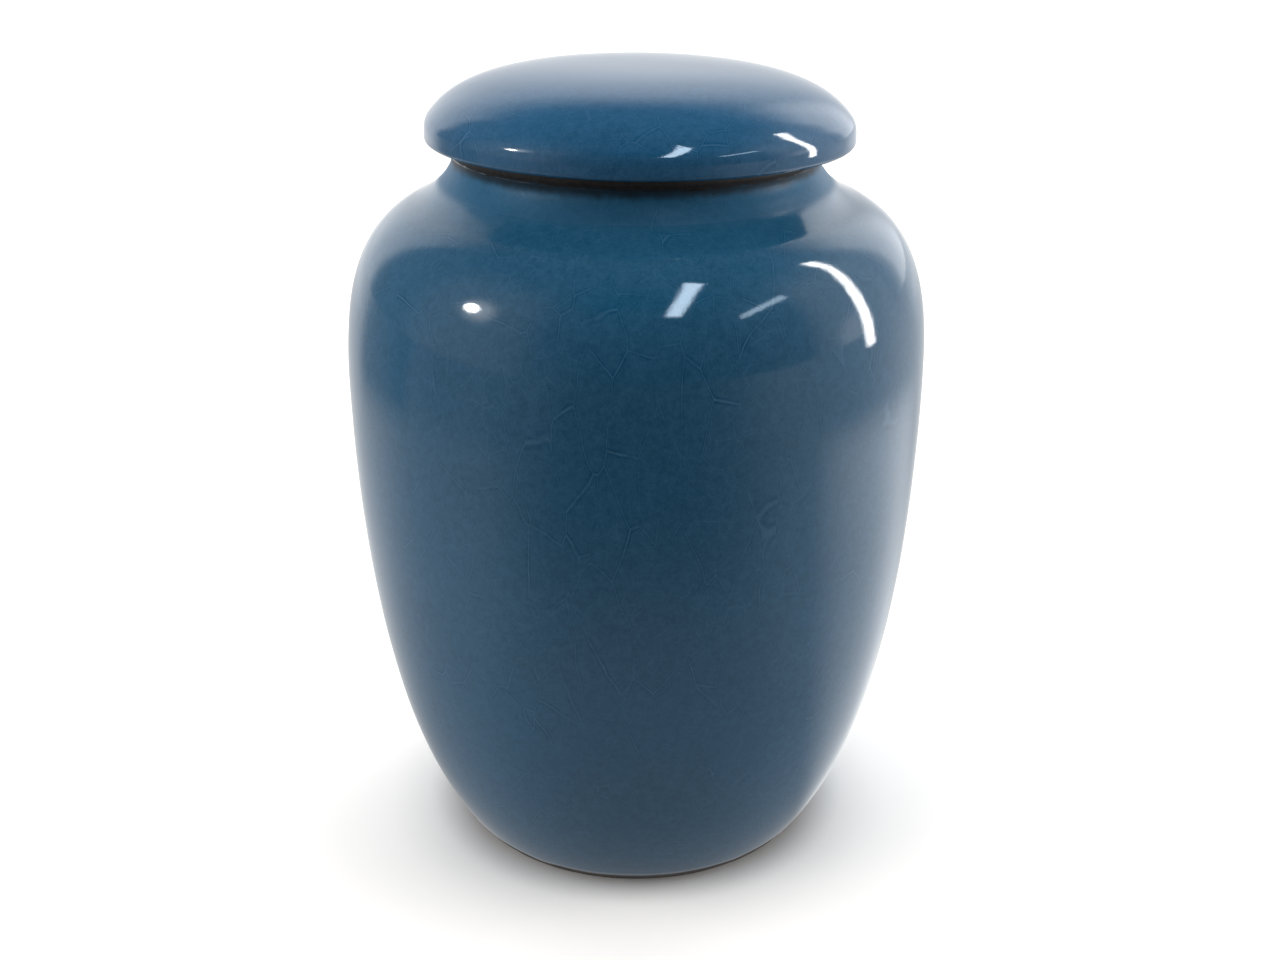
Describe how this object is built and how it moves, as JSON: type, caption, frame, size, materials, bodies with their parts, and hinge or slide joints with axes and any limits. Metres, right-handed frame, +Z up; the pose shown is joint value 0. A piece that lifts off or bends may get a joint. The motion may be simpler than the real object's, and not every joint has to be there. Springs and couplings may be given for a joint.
{
  "type": "funeral urn",
  "caption": "Lidded funeral urn in blue crackle glaze: a full-bellied jar that narrows to a foot ring, and a low domed lid resting on its rim.",
  "frame": {"origin": "centre of the foot ring's underside, on the surface the urn stands on", "axes": "+Z up along the axis of the jar, +X to the right and +Y away as the picture sees it; the lid lies slightly towards +X"},
  "size_m": [0.18, 0.18, 0.2481],
  "materials": {
    "jar_glaze": "gloss",
    "lid_glaze": "gloss"
  },
  "bodies": {
    "root": {"urn_body": "jar_glaze", "lid": "lid_glaze"}
  },
  "joints": []
}
